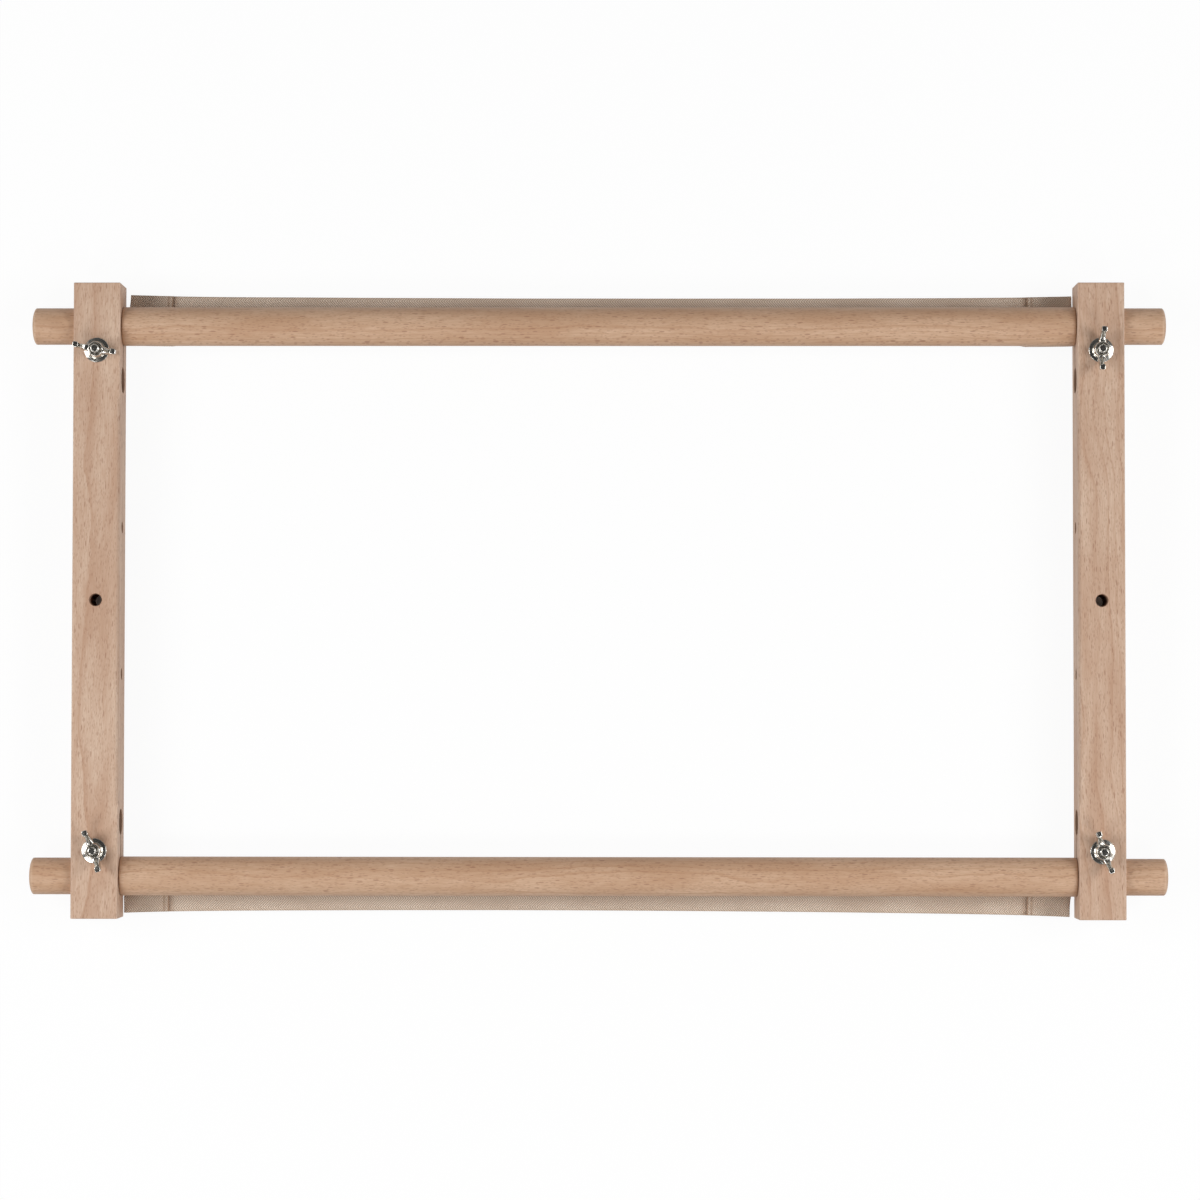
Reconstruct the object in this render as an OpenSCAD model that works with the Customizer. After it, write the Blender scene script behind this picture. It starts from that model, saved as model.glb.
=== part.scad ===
// Rotating tapestry frame, lying on its back. Two rollers run through two side bars.
// X runs along the rollers, Y from the bottom roller to the top one, Z towards the stitcher.
// The origin is on the surface that the frame lies on, under the middle of the frame.

/* [Side bars] */
// Length of a side bar
bar_length = 380; // [260:10:600]
// Width of a side bar, seen from the front
bar_width = 28; // [27:1:36]
// Depth of a side bar, front to back
bar_depth = 28; // [27:1:32]
// Distance between the centre lines of the two bars
bar_pitch = 600; // [250:10:900]
// Rounding of a bar's long edges
bar_edge = 0.6; // [0.4:0.1:1.2]
// Chamfer round a bar's sawn ends
bar_chamfer = 0.4; // [0.2:0.1:0.8]
// Radius of the stopped rounding along the inner front edge
ease_radius = 2.5; // [1:0.5:4]
// Distance from a bar's end to where that rounding stops
ease_stop = 65; // [60:1:80]

/* [Rollers] */
// Diameter of a roller's body, between the bars
roller_d = 23.4; // [23:0.2:26]
// Diameter of a roller's ends, which turn in the bars
spigot_d = 22; // [16:0.5:22]
// Distance from a bar's end to the roller's axis
roller_inset = 25; // [20:1:40]
// Length of a roller's end that stands out past a bar
roller_stub = 26; // [10:1:60]
// Chamfer on a roller's shoulders and ends
roller_chamfer = 0.6; // [0.2:0.1:1]
// Gap between a roller's shoulder and a bar
shoulder_gap = 0.4; // [0.3:0.1:1]

/* [Clamps] */
// Radial play of a roller's end in its bore
bore_play = 0.06; // [0.04:0.01:0.1]
// Width of the saw kerf that the clamp closes
kerf = 2; // [1:0.2:3]
// Diameter of the relief hole at the kerf's end
relief_d = 15; // [10:1:15]
// Distance from the roller's axis to the relief hole's axis
relief_inset = 32.5; // [32:0.5:36]
// Distance from the roller's axis to the bolt's axis
bolt_inset = 15.5; // [15:0.5:17]

/* [Bolts, washers and wing nuts] */
// Diameter of a bolt
bolt_d = 5; // [4:0.5:5]
// Length of a bolt under its head
bolt_length = 40; // [38:1:44]
// Diameter of a bolt's domed head
head_d = 13.5; // [12:0.5:15]
// Height of a bolt's domed head
head_h = 3.3; // [2.5:0.1:4]
// Depth of the square neck under the head
neck_h = 4; // [2:0.5:5]
// Diameter of a washer
washer_d = 15; // [12:1:20]
// Thickness of a washer
washer_t = 1.2; // [0.8:0.1:1.6]
// Diameter of a wing nut's boss where it meets the washer
boss_d = 11; // [10:0.5:12]
// Diameter of a wing nut's boss at the top
boss_top_d = 9; // [8:0.5:10]
// Height of a wing nut's boss
boss_h = 6.5; // [6:0.5:8]
// Span of a wing nut across its wings
wing_span = 26; // [24:1:27]
// Height of a wing nut's wings above the washer
wing_h = 13; // [12:0.5:15]
// Thickness of a wing
wing_t = 3.2; // [2:0.2:4]
// Turn of the wing nuts: top left, top right, bottom left, bottom right
wing_turns = [-11, 87, 110, 109]; // [-180:1:180]

/* [Holes in the bars] */
// Diameter of the front-to-back hole at a bar's middle
centre_hole_d = 7.2; // [4:0.1:10]
// Diameter of the two cross holes in a bar
cross_hole_d = 6.5; // [4:0.1:10]
// Distance between the two cross holes
cross_pitch = 88; // [40:2:110]
// Chamfer at the mouths of the holes
mouth = 0.4; // [0.2:0.1:0.6]

/* [Tapes and staples] */
// Width of the webbing before it is fixed
tape_width = 32; // [28:1:40]
// Thickness of the webbing
tape_t = 0.8; // [0.5:0.1:1.2]
// Gap between a tape's end and a bar
tape_gap = 2; // [1:0.5:20]
// Width of the top tape that stands out past the roller's back line
top_flap = 18.6; // [15:0.2:24]
// Width of the bottom tape that stands out past the roller's back line
bottom_flap = 21.4; // [15:0.2:24]
// Length of the hem at each end of a tape
hem_length = 25; // [10:1:40]
// Number of staples on a roller
staple_count = 12; // [6:1:20]
// Length of a staple's crown
staple_crown = 10; // [6:1:12]
// Thickness of a staple's wire
staple_wire = 0.6; // [0.4:0.1:0.9]
// Depth of a staple's legs in the wood
staple_leg = 6; // [4:1:8]

/* [Hidden] */

$fn = 64;
beech = [0.80, 0.68, 0.58];
turned_beech = [0.76, 0.60, 0.47];
webbing = [0.82, 0.74, 0.65];
nickel = [0.72, 0.72, 0.70];

// Overlap of cutters past the faces that they cut
past = 1;
bar_x = bar_pitch / 2;
half_length = bar_length / 2;
axis_y = half_length - roller_inset;
bolt_y = axis_y - bolt_inset;
back_z = head_h;
front_z = back_z + bar_depth;
mid_z = back_z + bar_depth / 2;
spigot_r = spigot_d / 2;
bore_r = spigot_r + bore_play;
roller_r = roller_d / 2;
roller_end = bar_x + bar_width / 2 + roller_stub;
shoulder_x = bar_x - bar_width / 2 - shoulder_gap;
bolt_r = bolt_d / 2;
neck_w = bolt_d + 0.4;
bolt_hole_d = bolt_d + 0.5;
thread_play = 0.05;
// Chamfer at the threaded end of a bolt
bolt_chamfer = 0.5;
washer_hole_d = bolt_d + 0.3;
washer_top = front_z + washer_t;
// Width of a wing's square tip, and the clip of its corners
wing_tip = 3.4;
wing_clip = 0.6;
// Height of the wings' lower edge above the washer
wing_lift = 1;
// Radius of the guide under the cutter that rounds the inner front edge
cutter_guide_r = 6.35;
tape_half = bar_x - bar_width / 2 - tape_gap;
// Thin gap that keeps the tape's curve off the roller's surface
tape_rise = 0.03;
// How far the hem's turned-in layer stays inside the tape's edges
hem_margin = 0.3;
tape_r = roller_r + tape_rise;
// Distance out from the back line where the doubled hem has room beside the roller
hem_start = 5;
// Turn of the staple line from the roller's back line, in degrees
staple_turn = 14;
staple_pitch = 2 * (tape_half - hem_length) / staple_count;

// Solid of one bar before it is drilled, along Y and centred on its own axis
module bar_blank() {
    intersection() {
        rotate([90, 0, 0]) linear_extrude(bar_length, center = true)
            rounded_rectangle(bar_width, bar_depth, bar_edge);
        linear_extrude(bar_depth, center = true)
            clipped_rectangle(bar_width, bar_length, bar_chamfer);
        rotate([0, 90, 0]) linear_extrude(bar_width, center = true)
            clipped_rectangle(bar_depth, bar_length, bar_chamfer);
    }
}

// Rectangle with round corners
module rounded_rectangle(w, h, r) {
    square([w, h - 2 * r], center = true);
    square([w - 2 * r, h], center = true);
    for (x = [-1, 1], y = [-1, 1])
        translate([x * (w / 2 - r), y * (h / 2 - r)]) circle(r);
}

// Rectangle with clipped corners
module clipped_rectangle(w, h, c) {
    polygon([
        [w / 2 - c, h / 2], [w / 2, h / 2 - c], [w / 2, c - h / 2], [w / 2 - c, -h / 2],
        [c - w / 2, -h / 2], [-w / 2, c - h / 2], [-w / 2, h / 2 - c], [c - w / 2, h / 2]
    ]);
}

// Profile of the edge cutter: its guide runs on the bar's side, and the hollow above it rounds the edge
module cutter_profile() {
    difference() {
        translate([0, -ease_radius]) square([cutter_guide_r + ease_radius, ease_radius + past]);
        translate([cutter_guide_r + ease_radius, -ease_radius]) circle(ease_radius);
    }
}

// Path of that cutter along a bar, on the side towards +X
module stopped_rounding() {
    run = half_length - ease_stop - cutter_guide_r;
    translate([bar_width / 2 + cutter_guide_r, 0, bar_depth / 2]) {
        for (y = [-run, run]) translate([0, y, 0]) rotate_extrude() cutter_profile();
        rotate([90, 0, 0]) linear_extrude(2 * run, center = true)
            mirror([1, 0]) cutter_profile();
    }
}

// Cutter for a hole of radius r right through a wall, with a small chamfer at both mouths
module hole(r, wall) {
    face = wall / 2;
    rotate_extrude() polygon([
        [0, -face - past], [r + mouth + past, -face - past], [r, mouth - face],
        [r, face - mouth], [r + mouth + past, face + past], [0, face + past]
    ]);
}

// Bore, kerf, relief hole and bolt hole of the clamp at one end of a bar
module clamp_cuts() {
    translate([0, axis_y, 0]) {
        across() hole(bore_r, bar_width);
        translate([0, -relief_inset, 0]) across() hole(relief_d / 2, bar_width);
        translate([-bar_width / 2 - past, -relief_inset, -kerf / 2])
            cube([bar_width + 2 * past, relief_inset, kerf]);
        translate([0, -bolt_inset, 0]) {
            cylinder(d = bolt_hole_d, h = bar_depth + 2 * past, center = true);
            translate([-neck_w / 2, -neck_w / 2, -bar_depth / 2 - past])
                cube([neck_w, neck_w, neck_h + past]);
        }
    }
}

// Turns an upright cylinder to run along X
module across() {
    rotate([0, 90, 0]) children();
}

// Bar whose inner face is towards +X, centred on its own middle
module bar_body() {
    difference() {
        bar_blank();
        stopped_rounding();
        for (end = [0, 1]) mirror([0, end, 0]) clamp_cuts();
        hole(centre_hole_d / 2, bar_depth);
        for (y = [-1, 1]) translate([0, y * cross_pitch / 2, 0])
            across() hole(cross_hole_d / 2, bar_width);
    }
}

module left_side_bar() {
    color(beech) translate([-bar_x, 0, mid_z]) bar_body();
}

module right_side_bar() {
    color(beech) translate([bar_x, 0, mid_z]) mirror([1, 0, 0]) bar_body();
}

// Turned rod along X, with a thicker body between its shoulders
module roller_body() {
    across() rotate_extrude() polygon([
        [0, -roller_end], [spigot_r - roller_chamfer, -roller_end],
        [spigot_r, roller_chamfer - roller_end], [spigot_r, -shoulder_x],
        [roller_r - roller_chamfer, -shoulder_x], [roller_r, roller_chamfer - shoulder_x],
        [roller_r, shoulder_x - roller_chamfer], [roller_r - roller_chamfer, shoulder_x],
        [spigot_r, shoulder_x], [spigot_r, roller_end - roller_chamfer],
        [spigot_r - roller_chamfer, roller_end], [0, roller_end]
    ]);
}

// Places a roller's pieces on its axis, with +Y outwards on both rollers
module on_roller(end) {
    translate([0, end * axis_y, mid_z]) mirror([0, end < 0 ? 1 : 0, 0]) children();
}

module top_roller() {
    color(turned_beech) on_roller(1) roller_body();
}

module bottom_roller() {
    color(turned_beech) on_roller(-1) roller_body();
}

// How far the free edge stands out at x: a slow bow, with the hems spread a little at the ends
function edge_at(x, flap, lean, dip) =
    let (u = x / tape_half)
    flap + lean * u + dip * (u * u - 1 / 3) + 0.8 * pow(abs(u), 14);

// Outline of a tape from x0 to x1, seen from the front: from y0 out to the free edge, less a margin
module tape_outline(x0, x1, y0, flap, lean, dip, margin) {
    steps = max(2, round((x1 - x0) / 20));
    polygon(concat(
        [[x0, y0]],
        [for (i = [0:steps])
            let (x = x0 + (x1 - x0) * i / steps) [x, edge_at(x, flap, lean, dip) - margin]],
        [[x1, y0]]
    ));
}

// Section of the strip across the roller: curved round the wood's back, then flat past the free edge
module tape_section(flap) {
    curve = (tape_width - flap) / tape_r * 180 / PI;
    steps = 12;
    turns = [for (i = [0:steps]) -curve * i / steps];
    polygon(concat(
        [[tape_width, -tape_r]],
        [for (a = turns) tape_r * [sin(a), -cos(a)]],
        [for (i = [steps:-1:0]) (tape_r + tape_t) * [sin(turns[i]), -cos(turns[i])]],
        [[tape_width, -tape_r - tape_t]]
    ));
}

// Webbing along a roller's back, with a doubled hem at each end
module tape(flap, lean, dip) {
    intersection() {
        rotate([90, 0, 90]) linear_extrude(2 * tape_half, center = true) tape_section(flap);
        linear_extrude(4 * roller_r, center = true)
            tape_outline(-tape_half, tape_half, -tape_width, flap, lean, dip, 0);
    }
    for (x0 = [hem_margin - tape_half, tape_half - hem_length])
        translate([0, 0, -tape_r - tape_t / 2]) linear_extrude(1.5 * tape_t)
            tape_outline(x0, x0 + hem_length - hem_margin, hem_start, flap, lean, dip, hem_margin);
}

module top_tape() {
    color(webbing) on_roller(1) tape(top_flap, -0.4, 1);
}

module bottom_tape() {
    color(webbing) on_roller(-1) tape(bottom_flap, 0.9, 1.9);
}

// Staple across the tape, with its crown along the roller
module staple() {
    crown_z = -tape_r - tape_t - staple_wire;
    translate([-staple_crown / 2, -staple_wire / 2, crown_z])
        cube([staple_crown, staple_wire, staple_wire]);
    for (x = [0, staple_crown - staple_wire])
        translate([x - staple_crown / 2, -staple_wire / 2, crown_z])
            cube([staple_wire, staple_wire, staple_wire + tape_t + staple_leg]);
}

module staples() {
    rotate([-staple_turn, 0, 0])
        for (i = [0:staple_count - 1])
            translate([(i - (staple_count - 1) / 2) * staple_pitch, 0, 0]) staple();
}

module top_staples() {
    color(nickel) on_roller(1) staples();
}

module bottom_staples() {
    color(nickel) on_roller(-1) staples();
}

// Bolt with a domed head and a square neck, from z = 0 at the crown of the head
module bolt() {
    dome_r = (head_h * head_h + head_d * head_d / 4) / (2 * head_h);
    intersection() {
        translate([0, 0, dome_r]) sphere(dome_r, $fn = 96);
        cylinder(d = head_d + past, h = head_h);
    }
    translate([-neck_w / 2, -neck_w / 2, head_h]) cube([neck_w, neck_w, neck_h]);
    rotate_extrude() polygon([
        [0, head_h], [bolt_r, head_h], [bolt_r, head_h + bolt_length - bolt_chamfer],
        [bolt_r - bolt_chamfer, head_h + bolt_length], [0, head_h + bolt_length]
    ]);
}

module washer() {
    difference() {
        cylinder(d = washer_d, h = washer_t);
        translate([0, 0, -past]) cylinder(d = washer_hole_d, h = washer_t + 2 * past);
    }
}

// Point at t on the curve from a to c that leans towards b
function bend(a, b, c, t) = (1 - t) * (1 - t) * a + 2 * t * (1 - t) * b + t * t * c;

// Outline of one wing in the plane of the bolt: out along the bottom, up, and back to the boss
module wing_outline() {
    steps = 8;
    tip = wing_span / 2;
    tip_in = tip - wing_tip;
    // Root inside the boss, half way through its wall
    root = boss_top_d / 4 + bolt_r / 2;
    saddle = boss_h - wing_clip;
    polygon(concat(
        [[root, wing_lift]],
        [for (i = [0:steps])
            bend([boss_d / 2 - wing_clip, wing_lift], [tip - 2.4, 1.8 * wing_lift], [tip, wing_h * 0.68],
                i / steps)],
        [[tip, wing_h - wing_clip], [tip - wing_clip, wing_h],
            [tip_in + wing_clip, wing_h], [tip_in, wing_h - wing_clip]],
        [for (i = [0:steps])
            bend([tip_in, wing_h - 2 * wing_clip], [tip_in - 0.8, boss_h + 0.2],
                [boss_top_d / 2 - wing_clip, saddle], i / steps)],
        [[root, saddle]]
    ));
}

module wing_nut(turn) {
    rotate([0, 0, turn]) difference() {
        union() {
            cylinder(d1 = boss_d, d2 = boss_top_d, h = boss_h);
            for (side = [0, 1]) rotate([90, 0, side * 180])
                linear_extrude(wing_t, center = true) wing_outline();
        }
        translate([0, 0, -past]) cylinder(r = bolt_r + thread_play, h = boss_h + 2 * past);
    }
}

// Places a corner's pieces on its bolt's axis
module at_corner(side, end, z) {
    translate([side * bar_x, end * bolt_y, z]) children();
}

module top_left_bolt() {
    color(nickel) at_corner(-1, 1, 0) bolt();
}

module top_right_bolt() {
    color(nickel) at_corner(1, 1, 0) bolt();
}

module bottom_left_bolt() {
    color(nickel) at_corner(-1, -1, 0) bolt();
}

module bottom_right_bolt() {
    color(nickel) at_corner(1, -1, 0) bolt();
}

module top_left_washer() {
    color(nickel) at_corner(-1, 1, front_z) washer();
}

module top_right_washer() {
    color(nickel) at_corner(1, 1, front_z) washer();
}

module bottom_left_washer() {
    color(nickel) at_corner(-1, -1, front_z) washer();
}

module bottom_right_washer() {
    color(nickel) at_corner(1, -1, front_z) washer();
}

module top_left_wing_nut() {
    color(nickel) at_corner(-1, 1, washer_top) wing_nut(wing_turns[0]);
}

module top_right_wing_nut() {
    color(nickel) at_corner(1, 1, washer_top) wing_nut(wing_turns[1]);
}

module bottom_left_wing_nut() {
    color(nickel) at_corner(-1, -1, washer_top) wing_nut(wing_turns[2]);
}

module bottom_right_wing_nut() {
    color(nickel) at_corner(1, -1, washer_top) wing_nut(wing_turns[3]);
}

left_side_bar();
right_side_bar();
top_roller();
bottom_roller();
top_tape();
bottom_tape();
top_staples();
bottom_staples();
top_left_bolt();
top_right_bolt();
bottom_left_bolt();
bottom_right_bolt();
top_left_washer();
top_right_washer();
bottom_left_washer();
bottom_right_washer();
top_left_wing_nut();
top_right_wing_nut();
bottom_left_wing_nut();
bottom_right_wing_nut();
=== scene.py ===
"""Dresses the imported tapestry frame: turned beech, herringbone tapes, plated clamps, and the stage that shows them."""

import math

import bmesh
import bpy
import numpy as np
from bpy.props import FloatProperty, FloatVectorProperty, IntProperty, PointerProperty
from mathutils import Matrix, Vector


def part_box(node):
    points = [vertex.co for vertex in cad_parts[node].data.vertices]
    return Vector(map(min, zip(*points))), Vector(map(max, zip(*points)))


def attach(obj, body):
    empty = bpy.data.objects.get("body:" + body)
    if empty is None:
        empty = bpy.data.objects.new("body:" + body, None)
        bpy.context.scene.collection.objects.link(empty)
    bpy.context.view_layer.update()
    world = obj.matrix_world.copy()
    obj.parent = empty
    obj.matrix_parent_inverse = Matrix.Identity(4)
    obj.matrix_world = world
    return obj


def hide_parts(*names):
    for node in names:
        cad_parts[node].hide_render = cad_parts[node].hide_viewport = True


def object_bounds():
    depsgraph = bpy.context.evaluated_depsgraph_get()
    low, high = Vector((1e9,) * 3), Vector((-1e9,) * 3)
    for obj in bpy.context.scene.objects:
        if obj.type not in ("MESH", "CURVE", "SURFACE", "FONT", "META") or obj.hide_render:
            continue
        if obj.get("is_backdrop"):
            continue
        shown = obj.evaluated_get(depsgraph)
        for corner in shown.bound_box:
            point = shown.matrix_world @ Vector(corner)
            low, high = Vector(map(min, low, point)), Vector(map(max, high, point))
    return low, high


bl_info = {
    "name": "Rotating tapestry frame",
    "version": (1, 0, 0),
    "blender": (4, 5, 0),
    "location": "3D View > Sidebar > Tapestry frame",
    "description": "Builds the wood, webbing and clamp ware of a rotating tapestry frame",
    "category": "Object",
}

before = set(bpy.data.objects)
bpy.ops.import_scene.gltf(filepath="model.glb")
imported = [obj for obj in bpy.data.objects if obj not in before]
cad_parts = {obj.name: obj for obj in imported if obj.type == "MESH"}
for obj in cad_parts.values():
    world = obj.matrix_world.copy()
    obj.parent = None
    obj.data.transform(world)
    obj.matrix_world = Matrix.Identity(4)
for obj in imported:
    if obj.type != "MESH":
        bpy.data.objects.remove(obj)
cad_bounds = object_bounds()

MM = 0.001
ENDS = ("top", "bottom")
SIDES = ("left", "right")
OUTWARDS = {"top": 1, "bottom": -1, "left": -1, "right": 1}


def middle(node):
    """Centre of a CAD node's box, in mm."""
    low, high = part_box(node)
    return (np.array(low) + np.array(high)) / 2 / MM


def extent(node):
    """Size of a CAD node's box, in mm."""
    low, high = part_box(node)
    return (np.array(high) - np.array(low)) / MM


BAR_SIZE = extent("left_side_bar")
BAR_MIDDLE = {side: middle(f"{side}_side_bar") for side in SIDES}
ROLLER_AXIS = {end: middle(f"{end}_roller") for end in ENDS}
ROLLER_LENGTH, ROLLER_DIAMETER = extent("top_roller")[:2]
TAPE_HALF = extent("top_tape")[0] / 2
WEB_HALF = TAPE_HALF + 1.6  # the webbing reaches to 0.4 mm from the bars
CORNERS = [(end, side) for end in ENDS for side in SIDES]
BOLT_AXIS = {corner: middle("{}_{}_bolt".format(*corner)) for corner in CORNERS}
BOLT_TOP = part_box("top_left_bolt")[1].z / MM
WASHER_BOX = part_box("top_left_washer")
WASHER_LOW, WASHER_TOP = WASHER_BOX[0].z / MM, WASHER_BOX[1].z / MM
NUT_TURNS = {("top", "left"): -11, ("top", "right"): 87, ("bottom", "left"): 110, ("bottom", "right"): 109}


def linear(red, green, blue):
    """Linear colour of a screen colour whose parts run from 0 to 255."""
    parts = np.array([red, green, blue]) / 255
    low, high = parts / 12.92, ((parts + 0.055) / 1.055) ** 2.4
    return tuple(float(v) for v in np.where(parts <= 0.04045, low, high))


def colour(red, green, blue, name, description):
    """Colour property with that screen colour as its default."""
    return FloatVectorProperty(
        name=name, description=description, subtype="COLOR", size=3, min=0, max=1,
        default=linear(red, green, blue),
    )


def length(default, name, description):
    """Length property, given in mm and kept in metres."""
    return FloatProperty(
        name=name, description=description, default=default * MM, min=0, unit="LENGTH", precision=5,
    )


class WoodSettings(bpy.types.PropertyGroup):
    bar_colour: colour(219, 192, 169, "Bar wood", "Early wood of the side bars")
    bar_streak: colour(182, 140, 112, "Bar streaks", "Late wood of the side bars")
    roller_colour: colour(216, 182, 153, "Roller wood", "Early wood of the rollers")
    roller_streak: colour(182, 138, 104, "Roller streaks", "Late wood of the rollers")
    fleck_colour: colour(146, 98, 72, "Ray flecks", "Short dark dashes along the grain")
    # Rough end grain of the hole and kerf walls; this dark colour also paints shade into those hollows.
    hole_wall_and_shade_colour: colour(120, 86, 64, "Drilled wood", "Walls of the holes and of the saw kerfs")
    ring_pitch: length(3.4, "Ring pitch", "Usual distance between two growth rings")
    shoulder: length(0.7, "Roller shoulder", "Step from a roller's body down to its ends")


class TapeSettings(bpy.types.PropertyGroup):
    webbing: colour(236, 221, 205, "Webbing", "Unbleached cotton of the tapes")
    # Painted shade: this colour darkens the weave's hollows and the thread's ply grooves, and also tints random
    # patches of the webbing.
    shade: colour(176, 148, 124, "Weave shade", "Hollows between the yarns")
    thread: colour(205, 184, 160, "Thread", "Sewing thread of the hems")
    width: length(32, "Width", "Width of the webbing before it is fixed")
    thickness: length(0.8, "Thickness", "Thickness of the webbing")
    hem: length(27.5, "Hem", "Length that is turned in at each end")
    twill_pitch: length(1.5, "Twill pitch", "Distance between two ridges of the weave along the tape")
    stripe: length(5.2, "Herringbone stripe", "Width of one stripe of the herringbone")


class WareSettings(bpy.types.PropertyGroup):
    plate: colour(214, 211, 204, "Nickel plate", "Plated bolts, washers and wing nuts")
    wire: colour(190, 190, 190, "Staple wire", "Zinc-coated wire of the staples")
    thread_pitch: length(0.8, "Thread pitch", "Rise of the bolt's thread in one turn")
    wing_span: length(26, "Wing span", "Distance across the wings of a wing nut")
    wing_height: length(13, "Wing height", "Height of a wing above the washer")
    staple_count: IntProperty(name="Staples", description="Staples along one roller", default=12, min=2, max=30)


class StageSettings(bpy.types.PropertyGroup):
    distance: FloatProperty(
        name="Camera distance", description="From the middle of the frame to the camera", default=2.33, unit="LENGTH",
    )
    lens: FloatProperty(name="Lens", description="Focal length in mm on a 36 mm sensor", default=116.56, min=10)
    key_power: FloatProperty(
        name="Key lamps", description="Power of each key lamp", default=4.1, unit="POWER",
    )
    side_power: FloatProperty(
        name="Side lamps", description="Power of each side lamp", default=15.5, unit="POWER",
    )
    sky: FloatProperty(name="Sky", description="Strength of the world at the horizon", default=0.45, min=0)


def surface(name, rings, wrap=False, sharp=40.0, uv=None):
    """A mesh object through closed rings of points in mm: rings[i, j] is point j of ring i.

    Neighbouring rings are joined by quads, and so are a ring's last and first point. With wrap the last ring is
    joined to the first, as in a washer. Otherwise each end is drawn together to the middle of its ring. Edges where
    the surface bends by more than sharp degrees stay crisp. uv[i, j] is the place of a point on the piece's map.
    """
    rings = np.asarray(rings, float)
    if not wrap:
        first, last = (np.broadcast_to(rings[k].mean(axis=0), rings[k].shape) for k in (0, -1))
        rings = np.concatenate([first[None], rings, last[None]])
        if uv is not None:
            uv = np.concatenate([uv[:1], uv, uv[-1:]])
    rows, columns = rings.shape[:2]
    i = np.arange(rows if wrap else rows - 1)[:, None]
    j = np.arange(columns)[None, :]
    here, there = i * columns, (i + 1) % rows * columns
    beside = (j + 1) % columns
    faces = np.stack([here + j, here + beside, there + beside, there + j], axis=-1).reshape(-1, 4)
    mesh = bpy.data.meshes.new(name)
    mesh.from_pydata(rings.reshape(-1, 3) * MM, [], faces)
    if uv is not None:
        layer = mesh.uv_layers.new(name="weave")
        layer.data.foreach_set("uv", (np.asarray(uv).reshape(-1, 2)[faces.ravel()] * MM).ravel())
    piece = bpy.data.objects.new(name, mesh)
    bpy.context.scene.collection.objects.link(piece)
    close(mesh, sharp)
    return piece


def close(mesh, sharp):
    """Merges doubled points, turns the faces outwards and shades the mesh smooth but for its sharp edges."""
    work = bmesh.new()
    work.from_mesh(mesh)
    bmesh.ops.remove_doubles(work, verts=work.verts, dist=1e-7)
    bmesh.ops.dissolve_degenerate(work, edges=work.edges, dist=1e-8)
    bmesh.ops.recalc_face_normals(work, faces=work.faces)
    work.to_mesh(mesh)
    work.free()
    mesh.polygons.foreach_set("use_smooth", np.ones(len(mesh.polygons), bool))
    mesh.set_sharp_from_angle(angle=math.radians(sharp))


def joined(name, pieces, sharp=40.0):
    """One object from several, with their meshes side by side."""
    work = bmesh.new()
    for piece in pieces:
        work.from_mesh(piece.data)
        old = piece.data
        bpy.data.objects.remove(piece)
        bpy.data.meshes.remove(old)
    mesh = bpy.data.meshes.new(name)
    work.to_mesh(mesh)
    work.free()
    piece = bpy.data.objects.new(name, mesh)
    bpy.context.scene.collection.objects.link(piece)
    mesh.polygons.foreach_set("use_smooth", np.ones(len(mesh.polygons), bool))
    mesh.set_sharp_from_angle(angle=math.radians(sharp))
    return piece


def turned(profile, steps, axis="Z"):
    """Rings of a turned piece: each (radius, height) of the profile is carried round the axis in that many steps."""
    radius, height = np.asarray(profile, float).T
    angle = np.linspace(0, 2 * np.pi, steps, endpoint=False)
    round_x, round_y = radius[:, None] * np.cos(angle), radius[:, None] * np.sin(angle)
    level = np.broadcast_to(height[:, None], round_x.shape)
    order = (round_x, round_y, level) if axis == "Z" else (level, round_x, round_y)
    return np.stack(order, axis=-1)


def arc(centre, radius, start, stop, steps):
    """Points of an arc in a profile, from one angle to another in degrees."""
    angle = np.radians(np.linspace(start, stop, steps))
    return [(centre[0] + radius * c, centre[1] + radius * s) for c, s in zip(np.cos(angle), np.sin(angle))]


def wire(points, across, radius, sides=8):
    """Rings of a round wire: a circle carried along the points.

    The circle stands square to the path, and its own axes are the path's side vector, which is the same everywhere,
    and that vector crossed with the path's direction.
    """
    points = np.asarray(points, float)
    run = np.gradient(points, axis=0)
    run /= np.linalg.norm(run, axis=1, keepdims=True)
    rise = np.cross(np.broadcast_to(across, run.shape), run)
    angle = np.linspace(0, 2 * np.pi, sides, endpoint=False)
    circle = np.cos(angle)[None, :, None] * rise[:, None] + np.sin(angle)[None, :, None] * np.asarray(across, float)
    return points[:, None] + radius * circle


def smooth_step(value, low, high):
    """Rises from 0 at low to 1 at high, level at both ends."""
    t = np.clip((np.asarray(value, float) - low) / (high - low), 0, 1)
    return t * t * (3 - 2 * t)


def finish_piece(piece, body, slot, material, *nodes):
    """Gives a piece its material, the body that it rides on and the CAD nodes that it stands for. The slot is not
    used.
    """
    piece.data.materials.clear()
    piece.data.materials.append(material)
    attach(piece, body)
    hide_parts(*nodes)
    return piece


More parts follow.
